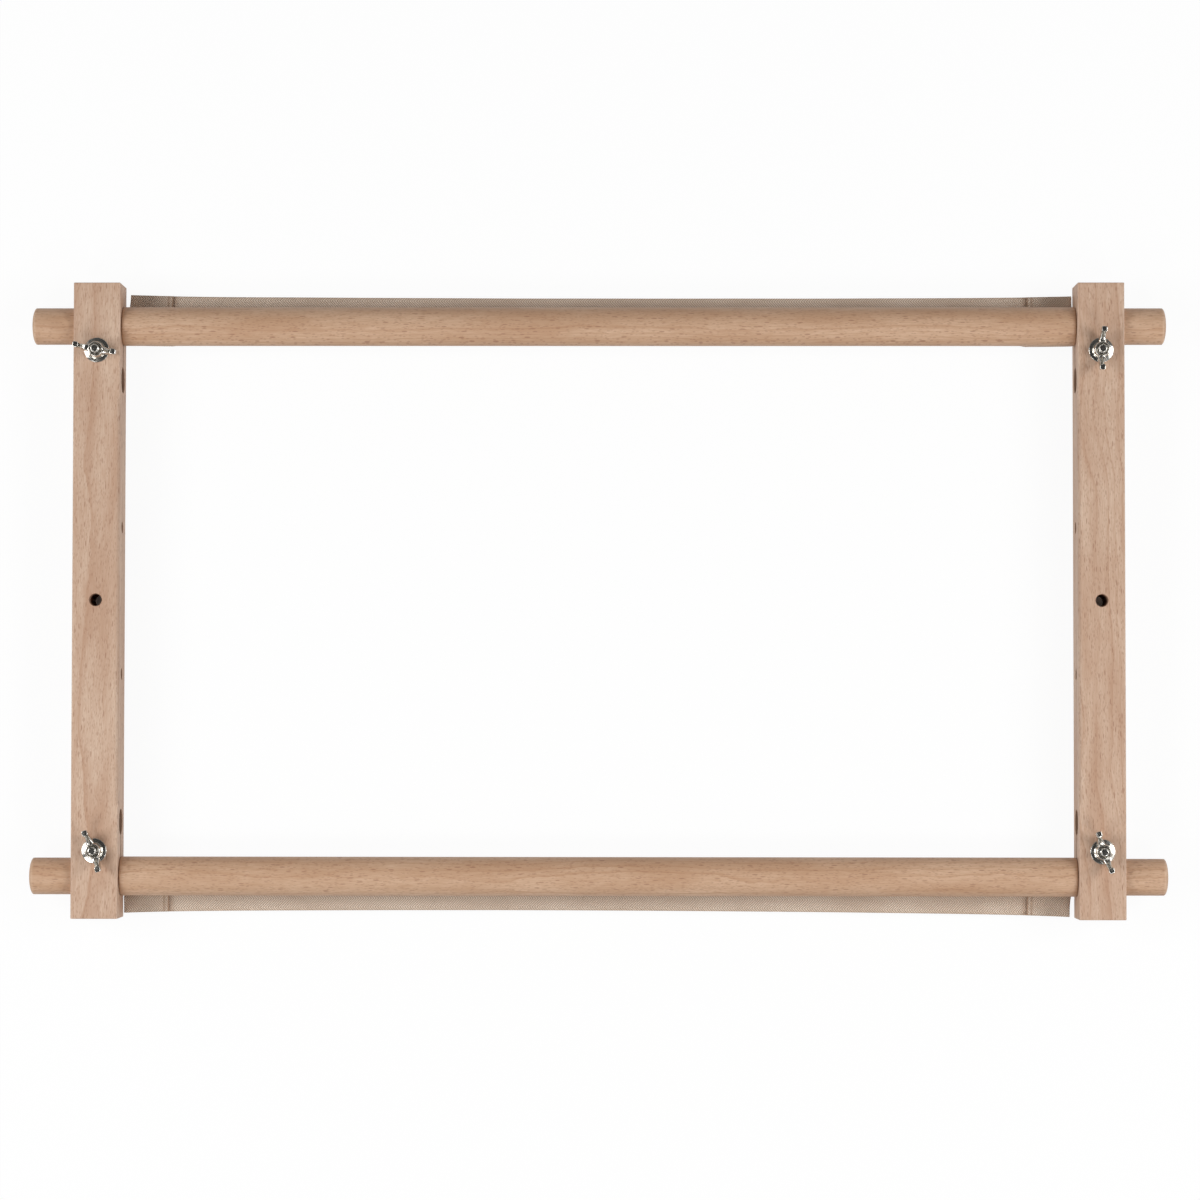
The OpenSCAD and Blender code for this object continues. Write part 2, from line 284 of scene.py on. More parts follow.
class Graph:
    """A node material, built a node at a time."""

    def __init__(self, name):
        self.material = bpy.data.materials.new(name)
        self.material.use_nodes = True
        self.tree = self.material.node_tree
        self.tree.nodes.clear()

    def add(self, kind, inputs=(), **settings):
        node = self.tree.nodes.new(kind)
        for key, value in settings.items():
            setattr(node, key, value)
        for key, value in dict(inputs).items():
            self.set(node.inputs[key], value)
        return node

    def set(self, socket, value):
        if isinstance(value, bpy.types.NodeSocket):
            self.tree.links.new(value, socket)
        elif socket.type == "RGBA" and len(value) == 3:
            socket.default_value = (*value, 1)
        else:
            socket.default_value = value

    def math(self, operation, *values, clamp=False):
        return self.add("ShaderNodeMath", enumerate(values), operation=operation, use_clamp=clamp).outputs[0]

    def fold(self, operation, values):
        """One number from many, joined in pairs by the operation."""
        total = values[0]
        for value in values[1:]:
            total = self.math(operation, total, value)
        return total

    def step(self, value, low, high, start=0.0, stop=1.0):
        """Smooth change from start to stop as the value goes from low to high."""
        inputs = {"Value": value, "From Min": low, "From Max": high, "To Min": start, "To Max": stop}
        return self.add("ShaderNodeMapRange", inputs, interpolation_type="SMOOTHSTEP").outputs[0]

    def mix(self, share, first, second, blend="MIX"):
        inputs = {0: share, 6: first, 7: second}
        return self.add("ShaderNodeMix", inputs, data_type="RGBA", blend_type=blend).outputs[2]

    def split(self, vector):
        return list(self.add("ShaderNodeSeparateXYZ", {0: vector}).outputs)

    def vector(self, x, y, z):
        return self.add("ShaderNodeCombineXYZ", {0: x, 1: y, 2: z}).outputs[0]

    def noise(self, vector, scale=1.0, detail=2.0, roughness=0.5):
        inputs = {"Vector": vector, "Scale": scale, "Detail": detail, "Roughness": roughness}
        return self.add("ShaderNodeTexNoise", inputs).outputs["Fac"]

    def cells(self, vector, scale=1.0):
        """Distance to the nearest of many scattered points, and a random number of that point."""
        node = self.add("ShaderNodeTexVoronoi", {"Vector": vector, "Scale": scale})
        return node.outputs["Distance"], self.split(node.outputs["Color"])[0]

    def scaled(self, socket, factors):
        return self.add("ShaderNodeVectorMath", {0: socket, 1: factors}, operation="MULTIPLY").outputs[0]

    def place(self, centre=(0, 0, 0), turn=0.0):
        """Object coordinates in mm from a centre, turned round Z by that many degrees."""
        spot = self.add("ShaderNodeTexCoord").outputs["Object"]
        shift = -(Matrix.Rotation(math.radians(turn), 3, "Z") @ Vector(centre))
        inputs = {"Vector": spot, "Location": shift, "Rotation": (0, 0, math.radians(turn)), "Scale": (1 / MM,) * 3}
        return self.add("ShaderNodeMapping", inputs).outputs[0]

    def bump(self, height, distance, strength=1.0):
        """Normal of a surface whose height in mm is the given number times distance."""
        inputs = {"Height": height, "Distance": distance * MM, "Strength": strength}
        return self.add("ShaderNodeBump", inputs).outputs[0]

    def done(self, **inputs):
        """Ends in one plain shader with these inputs, and returns the material."""
        inputs = {key.replace("_", " "): value for key, value in inputs.items()}
        shader = self.add("ShaderNodeBsdfPrincipled", inputs)
        output = self.add("ShaderNodeOutputMaterial", {"Surface": shader.outputs[0]})
        output.location = (300, 0)
        return self.material


def bar_drillings(graph):
    """Share of drilled or sawn wall at a point of a side bar, and the share of sawn end.

    A wall counts as drilled within a fraction of a millimetre of its hole's own radius. The saw kerf counts between
    the relief hole and the bore, in mid depth.
    """
    x, y, z = graph.split(graph.place((0, 0, BAR_MIDDLE["left"][2])))
    out_x = graph.math("ABSOLUTE", graph.math("SUBTRACT", graph.math("ABSOLUTE", x), BAR_MIDDLE["right"][0]))
    out_y, depth = graph.math("ABSOLUTE", y), graph.math("ABSOLUTE", z)

    def drilled(first, second, radius):
        squares = [graph.math("POWER", first, 2.0), graph.math("POWER", second, 2.0)]
        away = graph.math("SQRT", graph.math("ADD", *squares))
        return graph.step(away, radius + 0.15, radius + 0.45, 1.0, 0.0)

    def beyond(line):
        return graph.math("ABSOLUTE", graph.math("SUBTRACT", out_y, line))

    axis_y = ROLLER_AXIS["top"][1]
    kerf = graph.math("MULTIPLY", graph.step(depth, 1.05, 1.15, 1.0, 0.0),
                      graph.step(beyond(axis_y - 16), 16.4, 16.6, 1.0, 0.0))
    walls = [
        drilled(out_x, out_y, 3.6), drilled(beyond(44), depth, 3.25), drilled(beyond(axis_y - 32.5), depth, 7.5),
        drilled(beyond(axis_y), depth, 11.06), drilled(out_x, beyond(axis_y - 15.5), 2.75), kerf,
    ]
    sawn = graph.step(out_y, BAR_SIZE[1] / 2 - 0.35, BAR_SIZE[1] / 2 - 0.15)
    half = BAR_SIZE[0] / 2
    # Long edges of the bar, lightened in bar_material as wear and as a painted highlight.
    edge = graph.math("MINIMUM", graph.step(out_x, half - 1.3, half), graph.step(depth, half - 1.3, half))
    return graph.fold("MAXIMUM", walls), sawn, edge


def beech(name, along, centre, pith, turn, wood, streak, slot_seed, eyes=0.35):
    """Solid beech, worked out in the depth of the wood so that grain runs through every face.

    The growth rings lie round a far axis, the pith, and waver slowly along the grain. A ring darkens towards its
    late wood and ends at a line. The rays are thin upright plates between pith and bark: cut across they show as
    short dashes along the grain, and cut along they show as broader flakes, dark like the dashes.
    """
    look = bpy.context.scene.tapestry_wood
    graph = Graph(name)
    spot = graph.split(graph.place(centre, turn))
    run = graph.math("ADD", spot[along], slot_seed)
    side, depth = spot[1 - along], spot[2]
    slow = graph.noise(graph.vector(graph.math("DIVIDE", side, 26), graph.math("DIVIDE", depth, 26),
                                    graph.math("DIVIDE", run, 90)), detail=1.0)
    quick = graph.noise(graph.vector(graph.math("DIVIDE", side, 9), graph.math("DIVIDE", depth, 9),
                                     graph.math("DIVIDE", run, 13)), detail=2.0)
    waver = graph.math("ADD", graph.math("MULTIPLY", graph.math("SUBTRACT", slow, 0.5), 7.0),
                       graph.math("MULTIPLY", graph.math("SUBTRACT", quick, 0.5), eyes))
    from_side = graph.math("SUBTRACT", side, pith[0])
    from_depth = graph.math("SUBTRACT", depth, pith[1])
    squares = [graph.math("POWER", from_side, 2.0), graph.math("POWER", from_depth, 2.0)]
    radius = graph.math("ADD", graph.math("SQRT", graph.math("ADD", *squares)), waver)
    reach = math.hypot(*pith)
    round_way = graph.math("MULTIPLY", graph.math("ARCTAN2", from_depth, from_side), reach)

    pitch = look.ring_pitch / MM
    uneven = graph.noise(graph.vector(graph.math("DIVIDE", radius, 11), slot_seed, 0.0), detail=1.0)
    count = graph.math("ADD", graph.math("DIVIDE", radius, pitch), graph.math("MULTIPLY", uneven, 3.0))
    part = graph.math("FRACT", count)
    late = graph.math("MULTIPLY", graph.math("POWER", part, 5.0), graph.step(part, 0.93, 1.0, 1.0, 0.0))
    strength = graph.noise(graph.vector(graph.math("FLOOR", count), graph.math("DIVIDE", run, 160), slot_seed))

    cloud = graph.noise(graph.vector(graph.math("DIVIDE", side, 13), graph.math("DIVIDE", depth, 13),
                                     graph.math("DIVIDE", run, 75)), detail=3.0)
    fibre = graph.noise(graph.vector(graph.math("MULTIPLY", round_way, 2.4), graph.math("MULTIPLY", radius, 1.2),
                                     graph.math("DIVIDE", run, 7)), detail=3.0, roughness=0.6)

    def dashes(wide, long, deep, size, keep):
        where = graph.vector(graph.math("DIVIDE", round_way, wide), graph.math("DIVIDE", radius, deep),
                             graph.math("DIVIDE", run, long))
        away, chance = graph.cells(where)
        return graph.math("MULTIPLY", graph.step(away, size * 0.55, size, 1.0, 0.0), graph.step(chance, keep, keep + 0.12))

    fine = dashes(0.62, 3.0, 3.5, 0.40, 0.2)
    coarse = dashes(0.95, 6.5, 5.0, 0.34, 0.70)
    fleck = graph.math("MAXIMUM", graph.math("MULTIPLY", fine, 0.6), coarse)

    tone = graph.mix(graph.step(cloud, 0.3, 0.7, 0.0, 0.55), wood, streak)
    tone = graph.mix(graph.math("MULTIPLY", late, graph.step(strength, 0.3, 0.7, 0.4, 1.0)), tone, streak)
    tone = graph.mix(graph.step(fibre, 0.3, 0.7, 0.0, 0.5), tone, streak)
    tone = graph.mix(graph.math("MULTIPLY", fleck, 0.55), tone, look.fleck_colour)
    grain = graph.math("SUBTRACT", graph.math("MULTIPLY", fibre, 0.6), graph.math("MULTIPLY", fleck, 0.5))
    return graph, tone, grain


def bar_material(side):
    """Beech of one side bar: sanded faces, darker sawn ends, drilled walls darkened as end grain and as painted shade,
    and edges a little worn and polished, lightened as wear and as a painted highlight.
    """
    look = bpy.context.scene.tapestry_wood
    pith, turn, seed = ((16, -64), 1.6, 40.0) if side == "left" else ((-30, -58), -2.2, 410.0)
    graph, tone, grain = beech(
        f"beech_{side}_bar", 1, BAR_MIDDLE[side], pith, turn, look.bar_colour, look.bar_streak, seed, eyes=1.1)
    walls, sawn, edge = bar_drillings(graph)
    tone = graph.mix(graph.math("MULTIPLY", sawn, 0.35), tone, look.bar_streak)
    # Drilled and sawn walls darker: end grain, and painted shade in the holes and the kerf.
    tone = graph.mix(graph.math("MULTIPLY", walls, 0.72), tone, look.hole_wall_and_shade_colour)
    # Lighter long edges: a little wear, and a painted highlight along them.
    tone = graph.mix(graph.math("MULTIPLY", edge, 0.22), tone, linear(226, 204, 184))
    rough = graph.math("ADD", graph.math("MULTIPLY", grain, 0.10), graph.step(edge, 0.2, 1.0, 0.56, 0.47))
    rough = graph.math("ADD", rough, graph.math("MULTIPLY", graph.math("MAXIMUM", walls, sawn), 0.2))
    height = graph.math("MULTIPLY", grain, graph.step(walls, 0.0, 1.0, 1.0, 3.0))
    return graph.done(Base_Color=tone, Roughness=rough, Normal=graph.bump(height, 0.035))


def roller_material(end):
    """Beech of one roller: turned and sanded, with end grain at both ends, a painted highlight in a band just inside
    them, a darker band where it goes into the bars, and faint tool marks round it.
    """
    look = bpy.context.scene.tapestry_wood
    pith, seed = ((-30, -40), 900.0) if end == "top" else ((19.5, -43.8), 1500.0)
    graph, tone, grain = beech(
        f"beech_{end}_roller", 0, ROLLER_AXIS[end], pith, 0.0, look.roller_colour, look.roller_streak, seed, eyes=1.5)
    x, y, z = graph.split(graph.place(ROLLER_AXIS[end]))
    out_x = graph.math("ABSOLUTE", x)
    half = ROLLER_LENGTH / 2
    ending = graph.step(out_x, half - 1.5, half - 0.6)
    # Painted highlight: a lighter band just inside each rounded end.
    rim = graph.math("MULTIPLY", graph.step(out_x, half - 3.2, half - 2.2),
                     graph.step(out_x, half - 1.5, half - 0.6, 1.0, 0.0))
    # A band where the roller goes into the bar, painted darker.
    by_bar_band = graph.math("MULTIPLY", graph.step(out_x, 283, 285.4), graph.step(out_x, 286.1, 287, 1.0, 0.0))
    marks = graph.noise(graph.vector(graph.math("MULTIPLY", x, 1.9), graph.math("DIVIDE", y, 25), graph.math("DIVIDE", z, 25)))
    # End grain at the ends, and the band by the bars, darker.
    tone = graph.mix(graph.math("MULTIPLY", graph.math("MAXIMUM", ending, by_bar_band), 0.4), tone, look.roller_streak)
    # Paints that highlight band lighter.
    tone = graph.mix(graph.math("MULTIPLY", rim, 0.2), tone, linear(226, 200, 172))
    rough = graph.math("ADD", graph.math("MULTIPLY", grain, 0.10), graph.step(ending, 0.0, 1.0, 0.50, 0.72))
    height = graph.math("ADD", grain, graph.math("MULTIPLY", marks, 0.5))
    return graph.done(Base_Color=tone, Roughness=rough, Normal=graph.bump(height, 0.03))


def webbing_material(name, length_mm, seam):
    """Herringbone cotton on the tape's own map, in which U runs along the strip and V across it.

    The ridges of the twill are a wave along U whose phase goes back and forth with V, so that they lean one way in
    one stripe and the other way in the next. A second, finer wave across them gives the single yarns, and painted
    shade darkens the low parts of the weave. The cut end of a hem and the groove of its row of stitches get painted
    shade, and the main layer beside the hem, seam mm from the strip's end, gets a painted shadow.
    """
    look = bpy.context.scene.tapestry_tape
    graph = Graph(name)
    u, v, _ = graph.split(graph.scaled(graph.add("ShaderNodeUVMap", uv_map="weave").outputs[0], (1 / MM,) * 3))
    wander = graph.noise(graph.vector(graph.math("DIVIDE", u, 9), graph.math("DIVIDE", v, 9), 0.0), detail=2.0)
    along = graph.math("ADD", u, graph.math("MULTIPLY", wander, 0.8))
    lean = graph.math("PINGPONG", graph.math("ADD", v, 100.0), look.stripe / MM)
    turns = graph.math("MULTIPLY", graph.math("DIVIDE", graph.math("ADD", along, lean), look.twill_pitch / MM), 2 * math.pi)
    ridge = graph.math("SINE", turns)
    yarns = graph.math("SINE", graph.math("MULTIPLY", v, 2 * math.pi / 0.55))
    fluff = graph.noise(graph.vector(graph.math("MULTIPLY", u, 1.6), graph.math("MULTIPLY", v, 1.6), 3.0), detail=4.0)
    weave = graph.math("ADD", graph.math("MULTIPLY", ridge, 0.42), graph.math("MULTIPLY", yarns, 0.10))
    height = graph.math("ADD", graph.math("ADD", weave, 0.5), graph.math("MULTIPLY", fluff, 0.3))

    away, chance = graph.cells(graph.vector(graph.math("DIVIDE", u, 3.2), graph.math("DIVIDE", v, 1.6), 5.0))
    seed = graph.math("MULTIPLY", graph.step(away, 0.07, 0.16, 1.0, 0.0), graph.step(chance, 0.80, 0.9))
    edge = graph.math("ABSOLUTE", graph.math("SUBTRACT", v, look.width / MM / 2))
    # Darker along both long edges of the tape.
    edge_darkening = graph.step(edge, look.width / MM / 2 - 1.0, look.width / MM / 2 - 0.3)
    to_end = graph.math("MINIMUM", u, graph.math("SUBTRACT", length_mm, u))
    # Painted shade along the cut end of each hem.
    cut = graph.step(to_end, 0.5, 1.3, 1.0, 0.0)
    # Painted shade in the groove of the stitch row, 3.1 mm from the cut end.
    off_row = graph.math("ABSOLUTE", graph.math("SUBTRACT", to_end, 3.1))
    row = graph.step(off_row, 0.3, 1.1, 1.0, 0.0)
    # Painted shadow that the hem casts on the main layer beside its cut end; the stitch groove's painted shade joins
    # it below.
    painted_hem_shade = graph.math("MULTIPLY", graph.step(to_end, seam - 0.3, seam + 0.3),
                        graph.step(to_end, seam + 0.6, seam + 4.2, 1.0, 0.0))
    painted_hem_shade = graph.math("MAXIMUM", painted_hem_shade, row)
    cloud = graph.noise(graph.vector(graph.math("DIVIDE", u, 40), graph.math("DIVIDE", v, 18), 1.0), detail=2.0)

    # Painted shade: the low parts of the weave take the darker colour.
    tone = graph.mix(graph.step(height, 0.2, 1.0, 0.95, 0.0), look.webbing, look.shade)
    tone = graph.mix(graph.step(cloud, 0.3, 0.7, 0.0, 0.28), tone, look.shade)
    tone = graph.mix(graph.math("MULTIPLY", seed, 0.65), tone, linear(132, 100, 72))
    # Paints the long edges darker.
    tone = graph.mix(graph.math("MULTIPLY", edge_darkening, 0.30), tone, linear(168, 132, 104))
    # Paints that shade on the cut end.
    tone = graph.mix(graph.math("MULTIPLY", cut, 0.75), tone, linear(158, 122, 94))
    # Paints the hem's shadow and the stitch groove's shade.
    tone = graph.mix(graph.math("MULTIPLY", painted_hem_shade, 0.42), tone, linear(150, 112, 84))
    rough = graph.step(height, 0.2, 0.9, 0.95, 0.82)
    return graph.done(Base_Color=tone, Roughness=rough, Normal=graph.bump(height, 0.26),
                      Sheen_Weight=0.18, Sheen_Roughness=0.45)


def thread_material():
    """Twisted sewing thread, with a fine slanting ply whose grooves take painted shade."""
    look = bpy.context.scene.tapestry_tape
    graph = Graph("hem_thread")
    x, y, z = graph.split(graph.place())
    ply = graph.math("SINE", graph.math("MULTIPLY", graph.math("ADD", graph.math("ADD", x, y), z), 9.0))
    fuzz = graph.noise(graph.place(), scale=2.2, detail=3.0)
    height = graph.math("ADD", graph.math("MULTIPLY", ply, 0.4), fuzz)
    # Painted shade in the grooves of the ply.
    tone = graph.mix(graph.step(height, 0.0, 1.2, 0.5, 0.0), look.thread, look.shade)
    return graph.done(Base_Color=tone, Roughness=graph.step(fuzz, 0.2, 0.8, 0.7, 0.9), Normal=graph.bump(height, 0.04))


def plate_material(name, centre, wear):
    """Nickel plate: bright, a little cloudy, with fine scratches and duller cloudy patches."""
    look = bpy.context.scene.tapestry_ware
    graph = Graph(name)
    spot = graph.place(centre)
    x, y, z = graph.split(spot)
    cloud = graph.noise(spot, scale=0.45, detail=3.0)
    grit = graph.noise(spot, scale=3.5, detail=4.0, roughness=0.65)
    scratch = graph.noise(graph.vector(graph.math("MULTIPLY", x, 0.7), graph.math("MULTIPLY", y, 9.0),
                                       graph.math("MULTIPLY", z, 0.7)), detail=3.0)
    mark = graph.step(scratch, 0.62, 0.72)
    stain = graph.math("MULTIPLY", graph.step(cloud, 0.52, 0.75), wear)
    tone = graph.mix(stain, look.plate, linear(166, 160, 148))
    tone = graph.mix(graph.step(grit, 0.6, 0.8, 0.0, 0.35), tone, linear(176, 171, 162))
    rough = graph.math("ADD", graph.step(cloud, 0.3, 0.8, 0.13, 0.30), graph.math("MULTIPLY", mark, 0.12))
    height = graph.math("SUBTRACT", graph.math("MULTIPLY", grit, 0.6), graph.math("MULTIPLY", mark, 0.3))
    return graph.done(Base_Color=tone, Metallic=1.0, Roughness=rough, Normal=graph.bump(height, 0.018))


def wire_material():
    """Zinc-coated staple wire, drawn along X, dull in spots."""
    look = bpy.context.scene.tapestry_ware
    graph = Graph("staple_wire")
    x, y, z = graph.split(graph.place())
    drawn = graph.noise(graph.vector(graph.math("MULTIPLY", x, 0.5), graph.math("MULTIPLY", y, 8.0),
                                     graph.math("MULTIPLY", z, 8.0)), detail=3.0)
    tone = graph.mix(graph.step(drawn, 0.3, 0.7, 0.0, 0.5), look.wire, linear(140, 139, 136))
    rough = graph.step(drawn, 0.3, 0.7, 0.28, 0.46)
    return graph.done(Base_Color=tone, Metallic=1.0, Roughness=rough, Normal=graph.bump(drawn, 0.01))


class TAPESTRY_OT_side_bars(bpy.types.Operator):
    """Gives the two drilled and slotted bars of the frame their beech"""

    bl_idname = "tapestry.side_bars"
    bl_label = "Side bars"

    def execute(self, context):
        for side in SIDES:
            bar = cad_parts[f"{side}_side_bar"]
            bar.data.materials.clear()
            bar.data.materials.append(bar_material(side))
        return {"FINISHED"}


class TAPESTRY_OT_rollers(bpy.types.Operator):
    """Turns the two rollers, with soft shoulders against the bars and rounded ends"""

    bl_idname = "tapestry.rollers"
    bl_label = "Rollers"

    def execute(self, context):
        look = context.scene.tapestry_wood
        body, half = ROLLER_DIAMETER / 2, ROLLER_LENGTH / 2
        spigot = body - look.shoulder / MM
        neck = BAR_MIDDLE["right"][0] - BAR_SIZE[0] / 2 - 0.4
        dome, ease, flat = 2.3, 0.45, spigot * 0.3
        swell = np.radians(np.linspace(0, 90, 12))
        ending = list(zip(flat + (spigot - flat) * np.sin(swell), -half + dome * (1 - np.cos(swell))))
        stub = [(spigot, x) for x in np.linspace(-half + 4, -neck - 0.05, 6)]
        shoulder = [(body - ease, -neck)] + [(x, y) for y, x in arc((-neck + ease, body - ease), ease, 180, 90, 6)]
        barrel = [(body, x) for x in np.linspace(-neck + 3, 0, 24)]
        side = ending + stub + shoulder + barrel
        profile = side + [(r, -x) for r, x in side[-2::-1]]
        for end in ENDS:
            rings = turned(profile, 96, axis="X") + ROLLER_AXIS[end]
            roller = surface(f"{end}_roller_turning", rings, sharp=50)
            finish_piece(roller, f"{end}_roller", "beech_roller", roller_material(end), f"{end}_roller")
        return {"FINISHED"}


def free_edge(x, end):
    """How far the tape's free edge stands out past the roller's back line at x: a slow bow, spread at the hems."""
    flap, lean, dip = (18.6, -0.4, 1.0) if end == "top" else (21.4, 0.9, 1.9)
    u = x / WEB_HALF
    return flap + lean * u + dip * (u * u - 1 / 3) + 0.8 * np.abs(u) ** 14


HEM_ROWS, FOLD_ROWS, MAIN_ROWS = 14, 7, 26 + 69


def tape_strip(thick, hem):
    """Line of the strip seen along its width, from the left hem's cut end to the right one's.

    It gives the distance along the strip, the place along the roller, the height above the main layer, and the
    direction of the strip's thickness. The hem lies one thickness in front of the main layer, and the strip goes
    round a half circle at each end.
    """
    lift = thick + 0.05
    turn = lift / 2
    bend_x = WEB_HALF - thick / 2 - turn
    fine = np.linspace(WEB_HALF - hem, bend_x, HEM_ROWS)
    angle = np.radians(np.linspace(90, -90, FOLD_ROWS + 2))
    ramp = np.linspace(WEB_HALF - hem - 8, bend_x, 26)
    span = np.linspace(0, WEB_HALF - hem - 8, 70)[:-1]
    x = np.concatenate([fine, bend_x + turn * np.cos(angle[1:-1]), ramp[::-1], span[::-1]])
    up = np.concatenate([np.full(HEM_ROWS, lift), turn + turn * np.sin(angle[1:-1]), np.zeros(MAIN_ROWS)])
    tilt = np.concatenate([np.zeros(HEM_ROWS), np.pi / 2 - angle[1:-1], np.full(MAIN_ROWS, np.pi)])
    x = np.concatenate([-x, x[-2::-1]])
    up = np.concatenate([up, up[-2::-1]])
    left, right = (np.stack([way * np.sin(tilt), np.cos(tilt)], axis=1) for way in (-1, 1))
    face = np.concatenate([left, right[-2::-1]])
    run = np.concatenate([[0], np.cumsum(np.hypot(np.diff(x), np.diff(up)))])
    return run, x, up, face


def tape_section(across, height, wall, roller_r):
    """Point of the tape across the roller: round the wood's back, then flat out past it.

    across is the distance out from the back line, and height the distance towards the wood from the middle of the
    webbing as it lies on the roller.
    """
    rest = roller_r + 0.03 + wall / 2
    angle = np.minimum(across, 0) / rest
    reach = rest - height
    return reach * np.sin(angle) + np.maximum(across, 0), -reach * np.cos(angle)


def tape_settle(x, across, hem, lift):
    """How far the main layer is pushed back behind a hem where both are pressed to the wood."""
    doubled = smooth_step(np.abs(x), WEB_HALF - hem - 6, WEB_HALF - hem - 1)
    pressed = 1 - smooth_step(across, 1.5, 8)
    return -lift * doubled * pressed


def tape_skew(x, across, end):
    """Slant of the tape's ends, which lean in towards the free edge."""
    lean = {("top", -1): 2.4, ("top", 1): 0.2, ("bottom", -1): 0.2, ("bottom", 1): 2.4}
    amount = np.where(x < 0, lean[end, -1], -lean[end, 1])
    return amount * smooth_step(across, -2, 20) * smooth_step(np.abs(x), WEB_HALF - 50, WEB_HALF)


def tape_wave(x, across):
    """Slow waves of the free edge, up to half a millimetre up or down, with the ends bent back a little."""
    out = smooth_step(across, 3, 22)
    wave = 0.32 * np.sin(x / 31) + 0.22 * np.sin(x / 13.7 + 1.9)
    return out * (wave - 1.1 * smooth_step(np.abs(x), WEB_HALF - 14, WEB_HALF))


def tape_place(end, x, across, height, wall, hem):
    """Place in the frame of a point of the webbing, with +Y outwards turned to each roller's own side."""
    lift = wall + 0.05
    height = height + tape_settle(x, across, hem, lift)
    out, level = tape_section(across, height, wall, ROLLER_DIAMETER / 2)
    axis = ROLLER_AXIS[end]
    return np.stack(np.broadcast_arrays(
        x + tape_skew(x, across, end), axis[1] + OUTWARDS[end] * out, axis[2] + level + tape_wave(x, across)), axis=-1)


class TAPESTRY_OT_tapes(bpy.types.Operator):
    """Weaves the two hemmed tapes and sews their hems"""

    bl_idname = "tapestry.tapes"
    bl_label = "Tapes"

    def execute(self, context):
        look = context.scene.tapestry_tape
        wall, hem, width = look.thickness / MM, look.hem / MM, look.width / MM
        run, x, up, face = tape_strip(wall, hem)
        flat_length = float(run[-1])
        main_left = slice(HEM_ROWS + FOLD_ROWS, len(x) // 2)
        seam = float(np.interp(hem - WEB_HALF, x[main_left], run[main_left]))
        way = np.linspace(0, np.pi, 9)
        level = np.linspace(-1, 1, 44)[1:-1]
        half = wall / 2
        loop_v = np.concatenate([
            half * (1 - np.sin(way)), width / 2 + (width / 2 - half) * level,
            width - half * (1 - np.sin(way)), width / 2 - (width / 2 - half) * level])
        loop_h = half * np.concatenate([-np.cos(way), np.ones(42), np.cos(way), -np.ones(42)])
        uv = np.stack(np.broadcast_arrays(run[:, None], loop_v[None]), axis=-1)
        seam_thread = thread_material()
        for end in ENDS:
            place_x = x[:, None] + face[:, :1] * loop_h
            place_h = up[:, None] + face[:, 1:] * loop_h
            across = free_edge(x, end)[:, None] - width + loop_v
            tape = surface(f"{end}_tape_webbing", tape_place(end, place_x, across, place_h, wall, hem), uv=uv)
            material = webbing_material(f"herringbone_{end}_tape", flat_length, seam)
            finish_piece(tape, f"{end}_roller", "cotton_webbing", material, f"{end}_tape")
            stitches = hem_stitches(end, wall, hem, width)
            finish_piece(stitches, f"{end}_roller", "cotton_webbing", seam_thread)
        return {"FINISHED"}


def hem_stitches(end, wall, hem, width):
    """Straight stitches across both hems, on the front and on the back: short arched threads, end to end."""
    lift = wall + 0.05
    pitch, gap, thread_r = 2.7, 0.35, 0.16
    t = np.linspace(0, 1, 7)
    threads = []
    for side in (-1, 1):
        row_x = side * (WEB_HALF - hem + 3.1)
        edge = free_edge(row_x, end)
        for start in np.arange(edge - width + 1.2, edge - 1.2 - pitch, pitch):
            across = start + gap + t * (pitch - 2 * gap)
            arch = 0.14 * np.sin(np.pi * t) - 0.05
            for outer, turn in ((lift + wall / 2, 1), (-wall / 2, -1)):
                points = tape_place(end, row_x, across, outer + turn * arch, wall, hem)
                threads.append(surface("thread", wire(points, (1, 0, 0), thread_r, sides=6)))
    return joined(f"{end}_hem_stitching", threads)


class TAPESTRY_OT_staples(bpy.types.Operator):
    """Bends the staples that hold each tape to its roller's back"""

    bl_idname = "tapestry.staples"
    bl_label = "Staples"

    def execute(self, context):
        tape = context.scene.tapestry_tape
        count = context.scene.tapestry_ware.staple_count
        radius, crown, leg, corner = 0.3, 10.0, 6.0, 0.7
        top = ROLLER_DIAMETER / 2 + 0.03 + tape.thickness / MM + radius
        pitch = 2 * (TAPE_HALF - 25) / count
        side = crown / 2 - radius
        bend = np.radians(np.linspace(0, 90, 7))
        half_x = np.concatenate([[0, side / 2], side - corner + corner * np.sin(bend), [side, side]])
        half_z = np.concatenate([[top, top], top - corner + corner * np.cos(bend), [top - leg / 2, top - leg]])
        path_x = np.concatenate([-half_x[:0:-1], half_x])
        path_z = -np.concatenate([half_z[:0:-1], half_z])
        material = wire_material()
        for end in ENDS:
            turn = math.radians(-14 * OUTWARDS[end])
            across = np.array([0, math.cos(turn), math.sin(turn)])
            pieces = []
            for i in range(count):
                points = np.stack([path_x + (i - (count - 1) / 2) * pitch, -path_z * math.sin(turn),
                                   path_z * math.cos(turn)], axis=1)
                rings = wire(points + ROLLER_AXIS[end], across, radius)
                pieces.append(surface("staple", rings))
            staples = joined(f"{end}_bent_staples", pieces)
            finish_piece(staples, f"{end}_roller", "staple_wire", material, f"{end}_staples")
        return {"FINISHED"}


